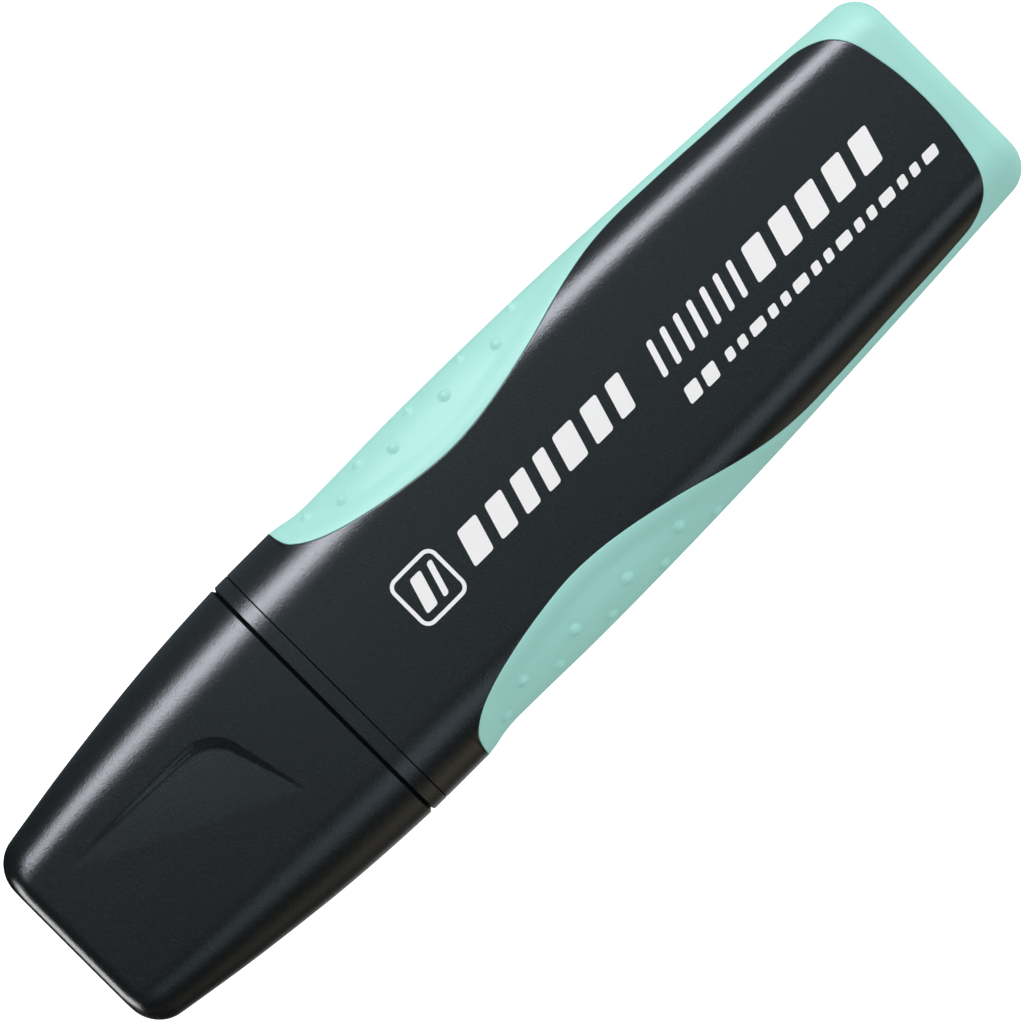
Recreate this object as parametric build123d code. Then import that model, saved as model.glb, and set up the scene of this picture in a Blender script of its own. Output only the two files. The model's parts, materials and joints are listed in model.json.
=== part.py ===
"""Flat chisel-nib highlighter, modelled as the separate mouldings and fibre parts that it is assembled from.

Frame: +X points along the pen towards the nib, +Y across its width, +Z up out of the printed face.
The pen lies on its back face. The origin is under the middle of its length and width, on that face.
Positions along the pen are given as stations: millimetres back from the closed end of the cap.
"""

from build123d import *
import math
import os

os.makedirs("parts", exist_ok=True)

# Overall size
LENGTH = 107.0
THICKNESS = 17.0
AXIS_Z = THICKNESS / 2

# Outside shape. Each outline is (station, half width), and the flanks round over into the two flat faces.
FLANK_RADIUS = 5.6
END_ROUNDING = 2.0
CAP_END_HALF_THICKNESS = 7.4
CAP_OUTLINE = [(-2, 9.65), (0, 10.0), (10, 11.63), (20, 12.84), (28, 13.43), (33, 13.55)]
BODY_OUTLINE = [(29, 13.5), (33, 13.55), (37, 13.55), (52, 13.4), (66, 12.96), (80, 12.35), (104, 11.1), (109, 10.82)]
GRIP_OUTLINE = [(35, 13.6), (37, 13.5), (39, 13.29), (41.5, 13.04), (53, 13.15), (66, 12.96), (80, 12.35),
                (104, 11.1), (109, 10.82)]

# Seams along the pen
CAP_RIM = 30.7
COLLAR_FRONT = 30.95
BARREL_FRONT = 32.4
GRIP_FRONT = 37.1
PANEL_TAIL = 104.4
EDGE_BREAK = 0.2

# Edge of the dark panels on both faces, where the grip frame meets them
PANEL_FLANK = [(GRIP_FRONT, 13.6), (38.1, 11.75), (40, 10.35), (43.5, 9.1), (48, 8.17), (54, 7.52), (60, 8.12),
               (66, 9.46), (72, 11.08), (78, 11.79), (86, 11.48), (97.5, 10.9)]
PANEL_NOSE = [(97.5, 10.9), (101, 10.17), (103, 8.34), (PANEL_TAIL, 0)]

# Wall thicknesses
CAP_WALL = 1.5
CAP_END_WALL = 1.6
GRIP_WALL = 1.1
BARREL_WALL = 1.3
CAVITY_INSET = GRIP_WALL + BARREL_WALL
CAVITY_END = 102.9

# Thumb recess in each face of the cap: a tilted floor that is deepest under the bend of its edge
RECESS_DEPTH = 0.75
RECESS_START = (4.3, 5.3)
RECESS_BEND_IN = (18.6, 5.5)
RECESS_BEND = (22.2, 4.6)
RECESS_BEND_OUT = (23.0, 1.4)
RECESS_FINISH = (24.4, -4.6)

# Raised nubs on the grips. Each row has its angle up the flank, its first station and its number of nubs.
NUB_RADIUS = 1.25
NUB_HEIGHT = 0.25
NUB_PITCH = 6.33
NUB_ROWS = [(24.4, 40.95, 5), (47.3, 44.1, 4)]
GRIP_HALF_WIDTH = 13.1

# Nib and the holder that carries it
NIB_TIP = 8.0
NIB_WIDTH = 5.0
NIB_DEPTH = 3.8
NIB_EDGE = 2.0
NIB_REAR = 48.0
NIB_CORNER = 0.5
CHISEL_SLANT = 2.6
CHISEL_BEVEL = 3.2
NECK_FRONT = 15.5
NECK_TIP_RADIUS = 3.9
NECK_CONE_RADIUS = 5.0
SEAL_LAND_RADIUS = 5.3
SEAL_LAND_FRONT = 20.8
SPIGOT_FRONT = 24.9
SPIGOT_INSET = CAP_WALL + 0.12
HOLDER_WALL = 1.4
SKIRT_CLEARANCE = 0.05
SKIRT_REAR = 38.4
GUIDE_REAR = 37.0
GUIDE_WALL = 1.3
AIR_SLOT_WIDTH = 1.2
AIR_SLOT_DEPTH = 0.5
SNAP_BEAD = (9.0, 1.2, 0.08)

# Inner cap: the sealing cup that closes on the neck, and the ring in the cap that it is pressed into
INNER_CAP_WALL = 0.8
INNER_CAP_MOUTH = 23.9
INNER_CAP_SEAL_FRONT = 20.2
INNER_CAP_SEAL_RADIUS = SEAL_LAND_RADIUS + 0.05
INNER_CAP_END_RADIUS = 4.75
SOCKET_REAR = 5.6
SOCKET_WALL = 0.9
SOCKET_RIB = 1.0

# Ink reservoir
RESERVOIR_FRONT = 39.0
RESERVOIR_REAR = 100.0
CORE_HALF_WIDTH = 8.45
CORE_HALF_DEPTH = 5.5
FILM = 0.25
RIB_THICKNESS = 1.0
RIB_CLEARANCE = 0.05
SIDE_RIB_OFFSET = 2.5
FACE_RIB_OFFSET = 3.5

OVERSIZE = 40.0


def x_at(station):
    """Position along X of a station."""
    return LENGTH / 2 - station


def slab(front, rear):
    """Everything between two stations, as a block far larger than the pen's section."""
    block = Box(rear - front, OVERSIZE, OVERSIZE)
    return Pos(x_at((front + rear) / 2), 0, AXIS_Z) * block


def plan_face(outline, inset):
    """Flat shape of an outline seen from above, mirrored across the pen and drawn in by inset."""
    side = Spline([(x_at(station), half - inset) for station, half in outline])
    other = side.mirror(Plane.XZ)
    closing = [Line(side @ 0, other @ 0), Line(side @ 1, other @ 1)]
    return make_face([side, other, *closing])


def flank_edges(solid):
    """The long edges where the narrow sides meet the faces."""
    longest = solid.bounding_box().size.X
    return [e for e in solid.edges() if e.bounding_box().size.X > 0.9 * longest]


def body_form(outline, front, rear, inset=0.0):
    """Outside shape of the pen between two stations, with parallel faces, drawn in by inset all round."""
    blank = Pos(0, 0, inset) * extrude(plan_face(outline, inset), THICKNESS - 2 * inset)
    rounded = fillet(flank_edges(blank), FLANK_RADIUS - inset)
    return rounded & slab(front, rear)


def cap_form(front, rear, inset=0.0):
    """The same for the cap, whose faces also close in towards its end."""
    slope = (AXIS_Z - CAP_END_HALF_THICKNESS) / CAP_RIM
    nose, back = CAP_OUTLINE[0][0], CAP_OUTLINE[-1][0]
    half_nose = AXIS_Z - slope * (CAP_RIM - nose) - inset
    half_back = AXIS_Z - slope * (CAP_RIM - back) - inset
    side = Polyline(
        (x_at(nose), 0, AXIS_Z - half_nose),
        (x_at(nose), 0, AXIS_Z + half_nose),
        (x_at(back), 0, AXIS_Z + half_back),
        (x_at(back), 0, AXIS_Z - half_back),
        close=True,
    )
    profile = extrude(make_face(side), OVERSIZE / 2, both=True, dir=(0, 1, 0))
    blank = extrude(plan_face(CAP_OUTLINE, inset), THICKNESS) & profile
    rounded = fillet(flank_edges(blank), FLANK_RADIUS - inset)
    return rounded & slab(front, rear)


def end_edges(solid, station):
    """The loop of edges round the flat end of a form at a station."""
    return [e for e in solid.edges() if abs(e.center().X - x_at(station)) < 0.01 and e.bounding_box().size.X < 0.01]


def turned(shape):
    """A shape turned half a turn about the pen's axis, so that both faces get the same feature."""
    return shape.rotate(Axis((0, 0, AXIS_Z), (1, 0, 0)), 180)


def panel_prism():
    """Everything above and below the dark panels, as seen from the face."""
    flank = Spline([(x_at(station), half) for station, half in PANEL_FLANK])
    nose = Spline(
        [(x_at(station), half) for station, half in PANEL_NOSE],
        tangents=[flank % 1, (0, -1)],
    )
    outer = OVERSIZE / 2
    corner = Polyline((x_at(0), 0), (x_at(0), outer), (x_at(GRIP_FRONT), outer), flank @ 0)
    half = make_face([corner, flank, nose, Line(nose @ 1, (x_at(0), 0))])
    whole = half + mirror(half, Plane.XZ)
    return Pos(0, 0, -OVERSIZE / 4) * extrude(whole, OVERSIZE)


def recess_cutter():
    """Tool for the thumb recess in the upper face: the recess's outline, above its tilted floor."""
    slope = (AXIS_Z - CAP_END_HALF_THICKNESS) / CAP_RIM

    def on_face(point, drop=0.0):
        station, across = point
        return Vector(x_at(station), -across, THICKNESS - slope * (CAP_RIM - station) - drop)

    first = Line(flat(RECESS_START), flat(RECESS_BEND_IN))
    bend = Spline([flat(RECESS_BEND_IN), flat(RECESS_BEND), flat(RECESS_BEND_OUT)],
                  tangents=[first % 1, direction(RECESS_BEND_OUT, RECESS_FINISH)])
    last = Line(flat(RECESS_BEND_OUT), flat(RECESS_FINISH))
    closing = Line(flat(RECESS_FINISH), flat(RECESS_START))
    outline = extrude(make_face([first, bend, last, closing]), THICKNESS)
    start, finish, deepest = on_face(RECESS_START), on_face(RECESS_FINISH), on_face(RECESS_BEND, RECESS_DEPTH)
    normal = (finish - start).cross(deepest - start).normalized()
    if normal.Z < 0:
        normal = -normal
    floor = Plane(origin=start, x_dir=(finish - start), z_dir=normal)
    above = floor * Pos(0, 0, OVERSIZE / 2) * Box(2 * OVERSIZE, 2 * OVERSIZE, OVERSIZE)
    return (Pos(0, 0, AXIS_Z) * outline) & above


def flat(point):
    """A recess point, seen from above."""
    station, across = point
    return (x_at(station), -across)


def direction(start, finish):
    """Unit direction between two recess points, seen from above."""
    a, b = Vector(*flat(start)), Vector(*flat(finish))
    return (b - a).normalized()


def inner_cap_form(front, wall=0.0):
    """Round form of the sealing cup: tapered up to its seal, and straight from there to its mouth."""
    taper = Cone(INNER_CAP_END_RADIUS + wall, INNER_CAP_SEAL_RADIUS + wall, INNER_CAP_SEAL_FRONT - front)
    straight = Cylinder(INNER_CAP_SEAL_RADIUS + wall, INNER_CAP_MOUTH - INNER_CAP_SEAL_FRONT)
    return along_axis(taper, front, INNER_CAP_SEAL_FRONT) + along_axis(straight, INNER_CAP_SEAL_FRONT, INNER_CAP_MOUTH)


def along_axis(shape, front, rear):
    """Lays a shape made along +Z, centred, on the pen's axis: its bottom at the front station."""
    return Pos(x_at((front + rear) / 2), 0, AXIS_Z) * Rot(0, -90, 0) * shape


def make_inner_cap():
    """Round sealing cup inside the cap."""
    return inner_cap_form(CAP_END_WALL, INNER_CAP_WALL) - inner_cap_form(CAP_END_WALL + INNER_CAP_WALL)


def make_cap_shell():
    """Outer cap with its thumb recesses, and the ribbed ring that holds the sealing cup."""
    outside = cap_form(0, CAP_RIM)
    outside = fillet(end_edges(outside, 0), END_ROUNDING)
    hollow = cap_form(CAP_END_WALL, CAP_RIM + 1, CAP_WALL)
    cutter = recess_cutter()
    shell = outside - hollow - cutter - turned(cutter)
    depth = SOCKET_REAR - CAP_END_WALL
    socket = Cylinder(INNER_CAP_END_RADIUS + INNER_CAP_WALL + SOCKET_WALL, depth)
    socket += Box(SOCKET_RIB, OVERSIZE, depth)
    socket = along_axis(socket, CAP_END_WALL, SOCKET_REAR) & hollow
    return shell + socket - inner_cap_form(CAP_END_WALL, INNER_CAP_WALL)


def nib_section(length):
    """The nib's rounded rectangular section, along +Z."""
    return extrude(RectangleRounded(NIB_DEPTH, NIB_WIDTH, NIB_CORNER), length / 2, both=True)


def make_nib():
    """Chisel nib: a slanted tip with two bevels that leave a narrow writing edge, and a pointed rear."""
    bar = along_axis(nib_section(NIB_REAR - NIB_TIP), NIB_TIP, NIB_REAR)
    slanted = Polyline(
        (x_at(NIB_TIP), -NIB_WIDTH / 2),
        (x_at(NIB_TIP + CHISEL_SLANT), NIB_WIDTH / 2),
        (x_at(NIB_REAR - 2.5), NIB_WIDTH / 2),
        (x_at(NIB_REAR), 0.8),
        (x_at(NIB_REAR), -0.8),
        (x_at(NIB_REAR - 2.5), -NIB_WIDTH / 2),
        close=True,
    )
    bar &= extrude(make_face(slanted), OVERSIZE)
    side = Polyline(
        (x_at(NIB_TIP), 0, AXIS_Z + NIB_EDGE / 2),
        (x_at(NIB_TIP + CHISEL_SLANT + CHISEL_BEVEL), 0, AXIS_Z + NIB_DEPTH / 2),
        (x_at(NIB_REAR), 0, AXIS_Z + NIB_DEPTH / 2),
        (x_at(NIB_REAR), 0, AXIS_Z - NIB_DEPTH / 2),
        (x_at(NIB_TIP + CHISEL_SLANT + CHISEL_BEVEL), 0, AXIS_Z - NIB_DEPTH / 2),
        (x_at(NIB_TIP), 0, AXIS_Z - NIB_EDGE / 2),
        close=True,
    )
    return bar & extrude(make_face(side), OVERSIZE / 2, both=True, dir=(0, 1, 0))


def make_nib_holder():
    """Front section: the collar seen between cap and barrel, the spigot for the cap, the neck and the skirt."""
    collar = body_form(BODY_OUTLINE, COLLAR_FRONT, BARREL_FRONT)
    collar = chamfer(end_edges(collar, COLLAR_FRONT), EDGE_BREAK)
    spigot = cap_form(SPIGOT_FRONT, COLLAR_FRONT + 0.5, SPIGOT_INSET)
    skirt = body_form(BODY_OUTLINE, COLLAR_FRONT + 0.5, SKIRT_REAR, CAVITY_INSET + SKIRT_CLEARANCE)
    hollow = body_form(BODY_OUTLINE, SPIGOT_FRONT + HOLDER_WALL + 4, SKIRT_REAR + 1,
                       CAVITY_INSET + SKIRT_CLEARANCE + HOLDER_WALL)
    deep_hollow = cap_form(SPIGOT_FRONT + HOLDER_WALL, SPIGOT_FRONT + HOLDER_WALL + 4.2,
                           CAVITY_INSET + SKIRT_CLEARANCE + HOLDER_WALL)
    land = Cylinder(SEAL_LAND_RADIUS, SPIGOT_FRONT - SEAL_LAND_FRONT)
    cone = Cone(NECK_TIP_RADIUS, NECK_CONE_RADIUS, SEAL_LAND_FRONT - NECK_FRONT)
    guide = extrude(RectangleRounded(NIB_DEPTH + 2 * GUIDE_WALL, NIB_WIDTH + 2 * GUIDE_WALL, NIB_CORNER + GUIDE_WALL),
                    (GUIDE_REAR - SPIGOT_FRONT) / 2, both=True)
    holder = collar + spigot + skirt - hollow - deep_hollow
    holder += along_axis(land, SEAL_LAND_FRONT, SPIGOT_FRONT)
    holder += along_axis(cone, NECK_FRONT, SEAL_LAND_FRONT)
    holder += along_axis(guide, SPIGOT_FRONT, GUIDE_REAR)
    length = GUIDE_REAR - NECK_FRONT
    bore = nib_section(length) + Box(AIR_SLOT_WIDTH, NIB_WIDTH + 2 * AIR_SLOT_DEPTH, length)
    return holder - along_axis(bore, NECK_FRONT, GUIDE_REAR) + snap_beads()


def snap_beads():
    """Two low beads on the spigot's faces that the cap clicks over."""
    width, length, height = SNAP_BEAD
    bead = Box(length, width, 1.0)
    station = (SPIGOT_FRONT + COLLAR_FRONT) / 2
    slope = (AXIS_Z - CAP_END_HALF_THICKNESS) / CAP_RIM
    top = THICKNESS - slope * (CAP_RIM - station) - SPIGOT_INSET + height
    upper = Pos(x_at(station), 0, top - 0.5) * bead
    return upper + turned(upper)


def make_reservoir():
    """Fibre core and the film round it. The core is slit for the rear of the nib."""
    length = RESERVOIR_REAR - RESERVOIR_FRONT
    section = SlotOverall(2 * CORE_HALF_WIDTH, 2 * CORE_HALF_DEPTH, rotation=90)
    wrapped = SlotOverall(2 * (CORE_HALF_WIDTH + FILM), 2 * (CORE_HALF_DEPTH + FILM), rotation=90)
    core = along_axis(extrude(section, length / 2, both=True), RESERVOIR_FRONT, RESERVOIR_REAR)
    film = along_axis(extrude(wrapped - section, length / 2, both=True), RESERVOIR_FRONT, RESERVOIR_REAR)
    return core - make_nib(), film


def cavity_ribs(cavity):
    """Ribs that hold the reservoir off the walls, so that air can pass round it."""
    front, rear = SKIRT_REAR + 0.6, CAVITY_END
    length = rear - front
    middle = Pos(x_at((front + rear) / 2), 0, AXIS_Z)
    ribs = None
    for offset in (-SIDE_RIB_OFFSET, SIDE_RIB_OFFSET):
        bar = middle * Pos(0, 0, offset) * Box(length, OVERSIZE, RIB_THICKNESS)
        ribs = bar if ribs is None else ribs + bar
    for offset in (-FACE_RIB_OFFSET, FACE_RIB_OFFSET):
        ribs += middle * Pos(0, offset, 0) * Box(length, RIB_THICKNESS, OVERSIZE)
    clear = SlotOverall(2 * (CORE_HALF_WIDTH + FILM + RIB_CLEARANCE), 2 * (CORE_HALF_DEPTH + FILM + RIB_CLEARANCE),
                        rotation=90)
    room = along_axis(extrude(clear, (RESERVOIR_REAR - front) / 2, both=True), front, RESERVOIR_REAR)
    return (ribs & cavity) - room


def make_barrel(core, prism):
    """Dark barrel: the core that the grip frame wraps, with the two full-height panels standing on it."""
    outside = body_form(BODY_OUTLINE, BARREL_FRONT, PANEL_TAIL)
    outside = chamfer(end_edges(outside, BARREL_FRONT), EDGE_BREAK)
    cavity = body_form(BODY_OUTLINE, BARREL_FRONT - 1, CAVITY_END, CAVITY_INSET)
    return core + (outside & prism) - cavity + cavity_ribs(cavity)


def grip_nubs(form):
    """Domes standing on the grip surface, in rows up each flank."""
    nubs = []
    for angle, first, count in NUB_ROWS:
        lift, reach = math.sin(math.radians(angle)), math.cos(math.radians(angle))
        for index in range(count):
            x = x_at(first + index * NUB_PITCH)
            for side in (-1, 1):
                for face in (-1, 1):
                    start = Vector(x, side * (GRIP_HALF_WIDTH - FLANK_RADIUS), AXIS_Z + face * (AXIS_Z - FLANK_RADIUS))
                    ray = Axis(start, (0, side * reach, face * lift))
                    hits = form.find_intersection_points(ray)
                    point, normal = max(hits, key=lambda hit: abs(hit[0].Y))
                    outward = normal if normal.Y * side > 0 else -normal
                    centre = point - outward * (NUB_RADIUS - NUB_HEIGHT)
                    nubs.append(Pos(*centre) * Sphere(NUB_RADIUS))
    return nubs


def make_grip_frame(core, prism):
    """Light grip frame: both grips with their nubs, and the tail that joins them."""
    outside = body_form(GRIP_OUTLINE, GRIP_FRONT, LENGTH)
    outside = fillet(end_edges(outside, LENGTH), END_ROUNDING)
    nubs = grip_nubs(outside)
    return (outside - prism) + nubs - core


def write(shape, name):
    """Writes one sub-part as parts/NAME.step and prints its volume."""
    print(name, "solids", len(shape.solids()), "volume", round(shape.volume, 1))
    export_step(shape, f"parts/{name}.step")


core_form = body_form(BODY_OUTLINE, GRIP_FRONT, PANEL_TAIL, GRIP_WALL)
panels = panel_prism()
reservoir_core, reservoir_film = make_reservoir()

write(make_cap_shell(), "cap_shell")
write(make_inner_cap(), "inner_cap")
write(make_nib_holder(), "nib_holder")
write(make_nib(), "chisel_nib")
write(reservoir_core, "reservoir_core")
write(reservoir_film, "reservoir_film")
write(make_barrel(core_form, panels), "barrel")
write(make_grip_frame(core_form, panels), "grip_frame")
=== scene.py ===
# %% [markdown]
# A flat highlighter in matt black and mint. The real one is a stack of injection mouldings: a cap, a front
# section whose collar shows as a narrow band, a black barrel, and a mint frame moulded over it for the
# grips and the tail. The CAD model holds every size and fit. Here each moulding is rebuilt as a fine
# surface in numpy, because the shape is all soft changes of section that a mesh made from a few sections
# can't show, and then gets its finish.

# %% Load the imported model
import json
import math

import bmesh
import bpy
import numpy as np
from mathutils import Matrix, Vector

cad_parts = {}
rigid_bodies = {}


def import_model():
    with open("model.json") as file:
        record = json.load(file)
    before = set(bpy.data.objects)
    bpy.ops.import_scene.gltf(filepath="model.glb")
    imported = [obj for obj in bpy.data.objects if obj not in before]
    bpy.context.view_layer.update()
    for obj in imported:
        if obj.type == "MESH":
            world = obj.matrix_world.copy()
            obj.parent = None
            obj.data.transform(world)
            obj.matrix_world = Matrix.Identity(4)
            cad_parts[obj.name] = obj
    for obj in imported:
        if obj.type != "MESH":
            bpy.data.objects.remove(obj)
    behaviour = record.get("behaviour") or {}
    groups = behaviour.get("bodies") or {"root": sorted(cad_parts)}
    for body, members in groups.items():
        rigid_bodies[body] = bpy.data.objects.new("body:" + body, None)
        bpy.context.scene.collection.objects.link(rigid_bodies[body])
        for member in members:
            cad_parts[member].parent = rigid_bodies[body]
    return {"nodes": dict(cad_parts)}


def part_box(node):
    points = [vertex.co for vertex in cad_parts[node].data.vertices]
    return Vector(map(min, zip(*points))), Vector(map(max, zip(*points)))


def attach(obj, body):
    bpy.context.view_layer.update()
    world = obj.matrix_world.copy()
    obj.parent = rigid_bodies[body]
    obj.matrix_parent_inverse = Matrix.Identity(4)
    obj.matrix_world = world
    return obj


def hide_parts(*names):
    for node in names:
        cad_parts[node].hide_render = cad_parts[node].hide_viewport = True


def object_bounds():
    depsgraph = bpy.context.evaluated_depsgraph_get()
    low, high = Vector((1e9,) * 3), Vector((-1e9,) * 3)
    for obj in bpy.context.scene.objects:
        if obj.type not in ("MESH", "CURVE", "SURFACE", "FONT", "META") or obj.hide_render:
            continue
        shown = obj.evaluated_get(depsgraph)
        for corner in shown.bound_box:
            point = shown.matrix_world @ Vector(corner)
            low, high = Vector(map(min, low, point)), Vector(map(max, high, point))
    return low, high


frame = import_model()
cad_low, cad_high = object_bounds()
print("CAD nodes:", sorted(frame["nodes"]))

# %% [markdown]
# Lengths below are millimetres. A place along the pen is a station, counted back from the closed end of the
# cap, as it would be measured with a rule. Stations of seams come from the CAD nodes, so both models meet
# at the same places.

# %% Sizes read from the CAD
MM = 0.001
LENGTH = (cad_high.x - cad_low.x) / MM
AXIS_Z = (cad_high.z + cad_low.z) / 2 / MM
INK = 0.012  # thickness of the print, which stands on the upper face inside the CAD box
HALF_DEPTH = (cad_high.z - cad_low.z) / 2 / MM - INK


def stations(node):
    """First and last station of a CAD node."""
    low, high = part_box(node)
    return (cad_high.x - high.x) / MM, (cad_high.x - low.x) / MM


CAP_RIM = stations("cap_shell")[1]
COLLAR_REAR = stations("barrel")[0]
PANEL_REAR = stations("barrel")[1]
MOUTH_FRONT, MOUTH_REAR = stations("inner_cap")
NECK_FRONT, SKIRT_REAR = stations("nib_holder")
NIB_FRONT = stations("chisel_nib")[0]
print("cap rim", round(CAP_RIM, 2), "collar rear", round(COLLAR_REAR, 2), "panel rear", round(PANEL_REAR, 2))

# %% [markdown]
# Outlines are smooth curves through a few points. A cubic between each two points, with each point's slope
# taken from its neighbours, is enough, and it works on whole arrays of stations at once.


# %% Smooth curves through a few points
def curve_through(points, at):
    """Values at the places given, on a smooth curve through (place, value) points.

    Each inner point's slope is the mean of the slopes on its two sides, weighted by the other side's
    length, and the end slopes leave the curve straight there. Between two points the value is the cubic
    with both points' values and slopes. Past the ends it stays put.
    """
    place, value = np.array(points, float).T
    step = np.diff(place)
    rise = np.diff(value) / step
    slope = np.empty_like(value)
    slope[1:-1] = (rise[:-1] * step[1:] + rise[1:] * step[:-1]) / (step[:-1] + step[1:])
    slope[0] = 1.5 * rise[0] - 0.5 * slope[1]
    slope[-1] = 1.5 * rise[-1] - 0.5 * slope[-2]
    at = np.clip(np.asarray(at, float), place[0], place[-1])
    k = np.clip(np.searchsorted(place, at, side="right") - 1, 0, len(step) - 1)
    u = (at - place[k]) / step[k]
    return (
        value[k] * (1 + 2 * u) * (1 - u) ** 2
        + value[k + 1] * (3 - 2 * u) * u**2
        + slope[k] * step[k] * u * (1 - u) ** 2
        - slope[k + 1] * step[k] * (1 - u) * u**2
    )


def ease(value, start, end):
    """0 before start, 1 after end, and a smooth S between them."""
    u = np.clip((value - start) / (end - start), 0, 1)
    return u * u * (3 - 2 * u)


def rounding(distance, radius):
    """How far a rounded edge has fallen back at a distance in from its end, along a quarter circle."""
    run = radius - np.clip(distance, 0, radius)
    return radius - np.sqrt(np.maximum(radius**2 - run**2, 0))


# %% [markdown]
# The outside shape. Seen from the face, the pen swells from the cap's end to the collar and narrows to the
# tail. Its section is a rectangle with round flanks, and the flanks grow tighter towards both ends. The cap
# also gets thinner towards its end. At both ends the outline turns on a larger radius than the edge of the
# flat face does.

# %% Outside shape
CAP_WIDTH = [(0, 10.02), (5, 10.85), (10, 11.63), (15, 12.28), (20, 12.84), (25, 13.24), (31, 13.54)]
BODY_WIDTH = [(30, 13.53), (34, 13.55), (38, 13.55), (45, 13.49), (52, 13.37), (60, 13.16), (66, 12.96),
              (75, 12.61), (84, 12.16), (93, 11.69), (102, 11.19), (107, 10.93)]
FLANK = [(0, 3.9), (6, 4.5), (12, 5.3), (18, 6.0), (27, 6.6), (36, 6.7), (50, 6.1), (70, 5.2), (98, 4.3),
         (107, 4.0)]
CAP_THIN = 1.1
CAP_THIN_POWER = 1.6
END_CORNER = 2.8
END_EDGE = 1.5
CROWN = 130.0


def outside(station, width):
    """Half width, half depth and flank radius at a station, where width is the outline's list of points.

    The half width follows the outline. The half depth falls towards the cap's end as a power of the
    distance from the cap's rim. At both ends each falls back along its own quarter circle, and the flank
    radius by the mean of both.
    """
    to_end = np.minimum(station, LENGTH - station)
    across = rounding(to_end, END_CORNER)
    down = rounding(to_end, END_EDGE)
    thin = CAP_THIN * np.clip(1 - station / CAP_RIM, 0, 1) ** CAP_THIN_POWER
    flank = curve_through(FLANK, station) - (across + down) / 2
    half_width = np.minimum(curve_through(width, station), cad_high.y / MM) - across
    return half_width, HALF_DEPTH - thin - down, flank


def face_lean(half_width, flank):
    """How far the face leans where it meets the flank: both arcs share a tangent and span the half width."""
    return np.arcsin(np.clip((half_width - flank) / (CROWN - flank), 0, 1))


def quarter_round(half_width, half_depth, flank):
    """Distance round a quarter of the section: half the face, the flank, and half the narrow side."""
    lean = face_lean(half_width, flank)
    side = half_depth - CROWN + (CROWN - flank) * np.cos(lean)
    return CROWN * lean + flank * (math.pi / 2 - lean) + side


def section(half_width, half_depth, flank, around, inset=0.0):
    """Points on a section and their outward directions, from the distance round it.

    around counts from the middle of the upper face, positive towards +Y, to twice the quarter round at the
    middle of the lower face. It runs along the crowned face, round the flank and down the side. On each arc
    the outward direction turns by distance over radius, and the point is the arc's centre plus the radius
    along that direction. inset draws the point in, against the outward direction.
    """
    quarter = quarter_round(half_width, half_depth, flank)
    lean = face_lean(half_width, flank)
    side = np.where(around < 0, -1.0, 1.0)
    s = np.abs(around)
    up = np.where(s > quarter, -1.0, 1.0)
    s = np.where(s > quarter, 2 * quarter - s, s)
    on_face = s < CROWN * lean
    turned = lean + (s - CROWN * lean) / np.maximum(flank, 1e-6)
    angle = np.where(on_face, s / CROWN, np.clip(turned, 0, math.pi / 2))
    radius = np.where(on_face, CROWN, flank)
    below = np.maximum(s - CROWN * lean - flank * (math.pi / 2 - lean), 0)
    y = (CROWN - radius) * np.sin(lean) + (radius - inset) * np.sin(angle)
    z = half_depth - CROWN + (CROWN - radius) * np.cos(lean) + (radius - inset) * np.cos(angle) - below
    return side * y, up * z, side * np.sin(angle), up * np.cos(angle)


def stack(station, y, z):
    """Points of the row frame in millimetres, from stations and heights above the pen's axis."""
    station, y, z = np.broadcast_arrays(station, y, z)
    return np.stack([cad_high.x / MM - station, y, AXIS_Z + z], axis=-1)


def pole(station, row):
    """A row of points that all lie on the pen's axis, as many as in the row that it closes."""
    return np.broadcast_to(stack(station, 0.0, 0.0), row.shape)


# %% [markdown]
# Every moulding ends up as grids of points, rows along the pen and columns round it as a ring. One function
# turns grids into a closed mesh: it welds the points where grids meet and where a row closes to a pole, and
# turns every face outwards. Its print shows whether any edge was left open.


# %% Grids of points to closed meshes
WELD = 1e-4
pieces = {}


def grid_faces(rows, columns, start):
    """Corner numbers of a ring grid's four-sided faces. Its last column joins its first."""
    number = start + np.arange(rows * columns).reshape(rows, columns)
    number = np.hstack([number, number[:, :1]])
    corners = [number[:-1, :-1], number[:-1, 1:], number[1:, 1:], number[1:, :-1]]
    return np.stack(corners, axis=-1).reshape(-1, 4)


def make_piece(name, grids, sharp=38.0):
    """A closed, smooth-shaded mesh object from grids shaped (rows, columns, 3), in millimetres.

    Edges that turn by more than sharp degrees stay sharp.
    """
    points = np.concatenate([g.reshape(-1, 3) for g in grids]) * MM
    starts = np.cumsum([0] + [g.shape[0] * g.shape[1] for g in grids])
    faces = np.concatenate([grid_faces(g.shape[0], g.shape[1], s) for g, s in zip(grids, starts)])
    mesh = bpy.data.meshes.new(name)
    mesh.from_pydata(points.tolist(), [], faces.tolist())
    shape = bmesh.new()
    shape.from_mesh(mesh)
    bmesh.ops.remove_doubles(shape, verts=shape.verts, dist=WELD * MM)
    bmesh.ops.dissolve_degenerate(shape, edges=shape.edges, dist=WELD * MM / 10)
    bmesh.ops.recalc_face_normals(shape, faces=shape.faces)
    open_edges = sum(not edge.is_manifold for edge in shape.edges)
    triangles = sum(len(face.verts) - 2 for face in shape.faces)
    shape.to_mesh(mesh)
    shape.free()
    mesh.shade_smooth()
    mesh.set_sharp_from_angle(angle=math.radians(sharp))
    piece = bpy.data.objects.new(name, mesh)
    bpy.context.scene.collection.objects.link(piece)
    pieces[name] = piece
    print(name, "triangles", triangles, "open edges", open_edges)
    return piece


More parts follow.
